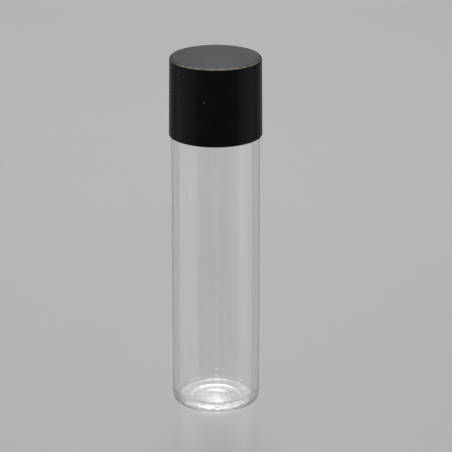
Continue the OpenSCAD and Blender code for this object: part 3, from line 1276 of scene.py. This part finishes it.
@dataclass
class ScrewCap:
    """The black cap: a smooth shell with a flared rim, a threaded bore and a liner bead.

    Attributes:
        finish: Finish of the cap.
        rim_radius: Radius that the side would have at the rim without its rounding.
        rim_z: Height of the rim.
        top_z: Height of the top.
        lean: How far the side leans in on its way up.
        edge: Radius of the top edge's rounding.
        rim_round: Radius of the rim's rounding.
        mouth_radius: Radius of the opening at the rim.
        flare: Height of the flare inside the rim.
        bore_radius: Radius of the bore between its threads.
        bore_points: Number of points down the bore, whose steps carry the thread.
        recess_radius: Radius of the liner's recess.
        recess_corner: Radius of the rounding under the ceiling.
        recess_low_z: Height of the recess's lower end.
        bead: Radius of the bead that holds the liner.
        liner_top_z: Height of the ceiling, which the liner touches.
        thread_rise: Height of the thread over the bore.
        thread_above_rim: Distance from the rim up to the thread's start.
        thread_high_z: Height of the thread's end.
        thread_middle_z: Height of its middle where it crosses +X.
        pitch: Rise of the thread in one turn.
    """

    finish: SatinPlastic = field(default_factory=SatinPlastic)
    rim_radius: float = 10.52 * MM
    rim_z: float = 64.3 * MM
    top_z: float = 82.3 * MM
    lean: float = 0.19 * MM
    edge: float = 0.55 * MM
    rim_round: float = 0.2 * MM
    mouth_radius: float = 10.156 * MM
    flare: float = 2.0 * MM
    bore_radius: float = 9.15 * MM
    bore_points: int = 124
    recess_radius: float = 8.75 * MM
    recess_corner: float = 0.12 * MM
    recess_low_z: float = 79.15 * MM
    bead: float = 0.35 * MM
    liner_top_z: float = 80.9 * MM
    thread_rise: float = 1.05 * MM
    thread_above_rim: float = 3.5 * MM
    thread_high_z: float = 75.4 * MM
    thread_middle_z: float = 76.525 * MM
    pitch: float = 3.175 * MM

    def outside(self) -> np.ndarray:
        """Outline from the rim's outer edge, up the leaning side and in to the middle of the top.

        Returns:
            The (n, 2) array of points.
        """
        draft = math.atan(self.lean / (self.top_z - self.rim_z - self.edge))
        angle = math.degrees(draft)
        rim_x = self.rim_radius - self.rim_round * (math.tan(draft) + 1 / math.cos(draft))
        edge_x = self.rim_radius - self.lean - self.edge / math.cos(draft)
        rim = arc((rim_x, self.rim_z + self.rim_round), self.rim_round, -90, angle, 10)
        edge = arc((edge_x, self.top_z - self.edge), self.edge, angle, 90, 16)
        return outline(
            rim,
            run(tuple(rim[-1]), tuple(edge[0]), 32),
            edge,
            run(tuple(edge[-1]), (0.0, self.top_z), 16),
        )

    def recess(self) -> np.ndarray:
        """Outline from the middle of the ceiling out, and down the liner's recess past its bead.

        Returns:
            The (n, 2) array of points.
        """
        bead_z = self.recess_low_z + self.bead
        corner_x = self.recess_radius - self.recess_corner
        corner_z = self.liner_top_z - self.recess_corner
        return outline(
            run((0.0, self.liner_top_z), (corner_x, self.liner_top_z), 10),
            arc((corner_x, corner_z), self.recess_corner, 90, 0, 4),
            run((self.recess_radius, corner_z), (self.recess_radius, bead_z + self.bead), 4),
            arc((self.recess_radius, bead_z), self.bead, 90, 270, 12),
            run((self.recess_radius, self.recess_low_z), (self.bore_radius, self.recess_low_z), 4),
        )

    def thread(self) -> Thread:
        """The thread inside the bore."""
        return Thread(
            side=ThreadSide.IN, rise=self.thread_rise, pitch=self.pitch, middle_z=self.thread_middle_z,
            low_z=self.rim_z + self.thread_above_rim, high_z=self.thread_high_z,
            section=(0.3 * MM, 0.42 * MM, 0.88 * MM, 1.0 * MM),
            heights=(1.0, 0.93, 0.07, 0.0),
        )

    def build(self, dust: bpy.types.NodeTree, skin: bpy.types.NodeTree) -> bpy.types.Object:
        """Turns the cap, with a bore that flares out to the rim, and dresses it.

        Args:
            dust: The group of dust specks.
            skin: The group of the moulded skin.

        Returns:
            The cap.
        """
        recess = self.recess()
        flare_z = self.rim_z + self.flare
        bore = even_wall(self.bore_radius, self.recess_low_z, flare_z, self.bore_points)
        flare = run((self.bore_radius, flare_z), (self.mouth_radius, self.rim_z), 10)
        cap = lathe("cap", outline(recess, bore, flare, self.outside()), self.thread(),
                    stretch(recess, bore))
        finish_piece(cap, self.finish.build(dust, skin), Body.CAP, "cap_shell")
        return cap


@dataclass
class SealLiner:
    """The soft disc between the cap and the mouth.

    Attributes:
        finish: Finish of the disc.
        radius: Radius of the disc.
        low_z: Height of its underside.
        high_z: Height of its top.
        edge: Radius of the rounding of its edges.
    """

    finish: FoamFace = field(default_factory=FoamFace)
    radius: float = 8.6 * MM
    low_z: float = 80.0 * MM
    high_z: float = 80.9 * MM
    edge: float = 0.15 * MM

    def build(self, skin: bpy.types.NodeTree) -> bpy.types.Object:
        """Turns the disc and dresses it.

        Args:
            skin: The group of the moulded skin.

        Returns:
            The liner.
        """
        rim_x = self.radius - self.edge
        profile = outline(
            run((0.0, self.low_z), (rim_x, self.low_z), 16),
            arc((rim_x, self.low_z + self.edge), self.edge, -90, 0, 6),
            arc((rim_x, self.high_z - self.edge), self.edge, 0, 90, 6),
            run((rim_x, self.high_z), (0.0, self.high_z), 16),
        )
        liner = lathe("liner", profile)
        finish_piece(liner, self.finish.build(skin), Body.LINER, "cap_liner")
        return liner


# ---------------------------------------------------------------------------------------------
# Studio
# ---------------------------------------------------------------------------------------------


@dataclass(frozen=True)
class Softbox:
    """A square-edged soft lamp.

    Attributes:
        name: Name of the lamp.
        place: Where it stands.
        aim: The point that it faces.
        size: Its width and height.
        radiance: How bright its face looks, where 1 is white.
    """

    name: str
    place: Place
    aim: Place
    size: tuple[float, float]
    radiance: float

    def build(self) -> None:
        """Makes the lamp. Its power is radiance times pi times its area."""
        lamp = bpy.data.lights.new(self.name, "AREA")
        lamp.shape = "RECTANGLE"
        lamp.size, lamp.size_y = self.size
        lamp.energy = self.radiance * math.pi * self.size[0] * self.size[1]
        obj = bpy.data.objects.new(self.name, lamp)
        obj.location = self.place
        obj.rotation_euler = (Vector(self.aim) - Vector(self.place)).to_track_quat("-Z", "Y").to_euler()
        obj.visible_camera = False
        bpy.context.scene.collection.objects.link(obj)


@dataclass
class Studio:
    """A pale sweep, four softboxes and a dim room.

    Attributes:
        sheet: Finish of the sweep.
        half_width: Half of the sweep's width.
        front: Where the sweep starts, along Y.
        back: Where its wall stands.
        sweep: Radius of the turn from floor to wall.
        wall_top: Height of the wall.
        room_light: Strength of the room's light on the object.
        horizon_light: Tone of the room where it is seen past the sweep.
        boxes: The lamps.
    """

    sheet: StudioSheet = field(default_factory=StudioSheet)
    half_width: float = 1.6
    front: float = -1.6
    back: float = 0.75
    sweep: float = 0.4
    wall_top: float = 1.2
    room_light: float = 0.35
    horizon_light: float = 0.5
    boxes: tuple[Softbox, ...] = (
        Softbox("left_box", (-0.62, -0.12, 0.3), (0.0, 0.0, 0.05), (0.8, 0.5), 1.5),
        Softbox("right_box", (0.62, -0.08, 0.3), (0.0, 0.0, 0.05), (0.6, 0.5), 1.5),
        Softbox("back_box", (0.0, 0.38, 0.58), (0.0, 0.04, 0.0), (0.1, 0.44), 13.5),
        Softbox("front_box", (0.0, -0.5, 0.42), (0.0, 0.0, 0.05), (0.12, 0.12), 8.0),
    )

    def build_sweep(self) -> None:
        """The floor, which turns up behind into a wall by a quarter circle, as one sheet."""
        turned_up = arc((self.back - self.sweep, self.sweep), self.sweep, -90, 0, 24)
        path = np.vstack([[[self.front, 0.0]], turned_up, [[self.back, self.wall_top]]])
        side = np.array([-self.half_width, self.half_width])
        x = np.repeat(side[None, :], len(path), axis=0)
        points = np.stack([x, np.repeat(path[:, :1], 2, 1), np.repeat(path[:, 1:], 2, 1)], axis=-1)
        row = np.arange(len(path) - 1) * 2
        faces = np.stack([row, row + 1, row + 3, row + 2], axis=-1)
        sheet = new_object("sweep", points.reshape(-1, 3), faces.tolist())
        sheet.data.materials.append(self.sheet.build())

    def build_room(self) -> None:
        """The even light of the room, from all round."""
        world = bpy.data.worlds.new("room")
        world.use_nodes = True
        wiring = Wiring(world.node_tree)
        light = wiring.node("ShaderNodeLightPath").outputs
        straight = wiring.math("MAXIMUM", light["Is Camera Ray"], light["Is Transmission Ray"])
        strength = wiring.remap(straight, 0.0, 1.0, self.room_light, self.horizon_light)
        wiring.fill(world.node_tree.nodes["Background"], Color=(1.0, 1.0, 1.0, 1.0), Strength=strength)
        bpy.context.scene.world = world

    def build(self) -> None:
        """Makes the sweep, the room's light and the lamps."""
        self.build_sweep()
        self.build_room()
        for box in self.boxes:
            box.build()
        LOG.info("studio: %d lamps", len(self.boxes))


@dataclass(frozen=True)
class Viewpoint:
    """The camera, in front of the vial and looking down at it.

    Attributes:
        distance: Distance from the camera to the aim.
        elevation: Angle of its view below the horizon, in degrees.
        aim: The point that it looks at.
        sensor: Width of its sensor, in millimetres.
        lens: Focal length, in millimetres.
        nearest: Distance from which it sees.
    """

    distance: float = 0.6121
    elevation: float = 19.15
    aim: Place = (0.00232, 0.0, 0.04237)
    sensor: float = 36.0
    lens: float = 214.5
    nearest: float = 0.01

    def build(self) -> None:
        """Makes the camera and gives it to the scene."""
        angle = math.radians(self.elevation)
        camera = bpy.data.cameras.new("camera")
        camera.sensor_width = self.sensor
        camera.lens = self.lens
        camera.clip_start = self.nearest
        obj = bpy.data.objects.new("camera", camera)
        away = Vector((0.0, -math.cos(angle), math.sin(angle))) * self.distance
        obj.location = Vector(self.aim) + away
        obj.rotation_euler = (math.pi / 2 - angle, 0.0, 0.0)
        bpy.context.scene.collection.objects.link(obj)
        bpy.context.scene.camera = obj


def main() -> None:
    """Builds the camera, the pieces in order and the studio, and reports each piece."""
    logging.basicConfig(level=logging.INFO, format="%(name)s: %(message)s")
    bpy.context.scene.view_settings.view_transform = "Standard"
    Viewpoint().build()
    dust, skin = dust_group(), skin_group()

    glass_radius, _, mouth_z = node_sizes("vial_glass")
    _, rim_z, top_z = node_sizes("cap_shell")
    liner_radius, liner_low_z, liner_high_z = node_sizes("cap_liner")
    pieces = (
        VialGlass(radius=glass_radius, mouth_z=mouth_z).build(dust),
        FootGritAndGlints(radius=glass_radius).build(),
        ScrewCap(rim_z=rim_z, top_z=top_z, liner_top_z=liner_high_z).build(dust, skin),
        SealLiner(radius=liner_radius, low_z=liner_low_z, high_z=liner_high_z).build(skin),
    )
    for piece in pieces:
        mesh = piece.data
        LOG.info("%s: %d points, %d faces", piece.name, len(mesh.vertices), len(mesh.polygons))
    Studio().build()


if __name__ == "__main__":
    main()
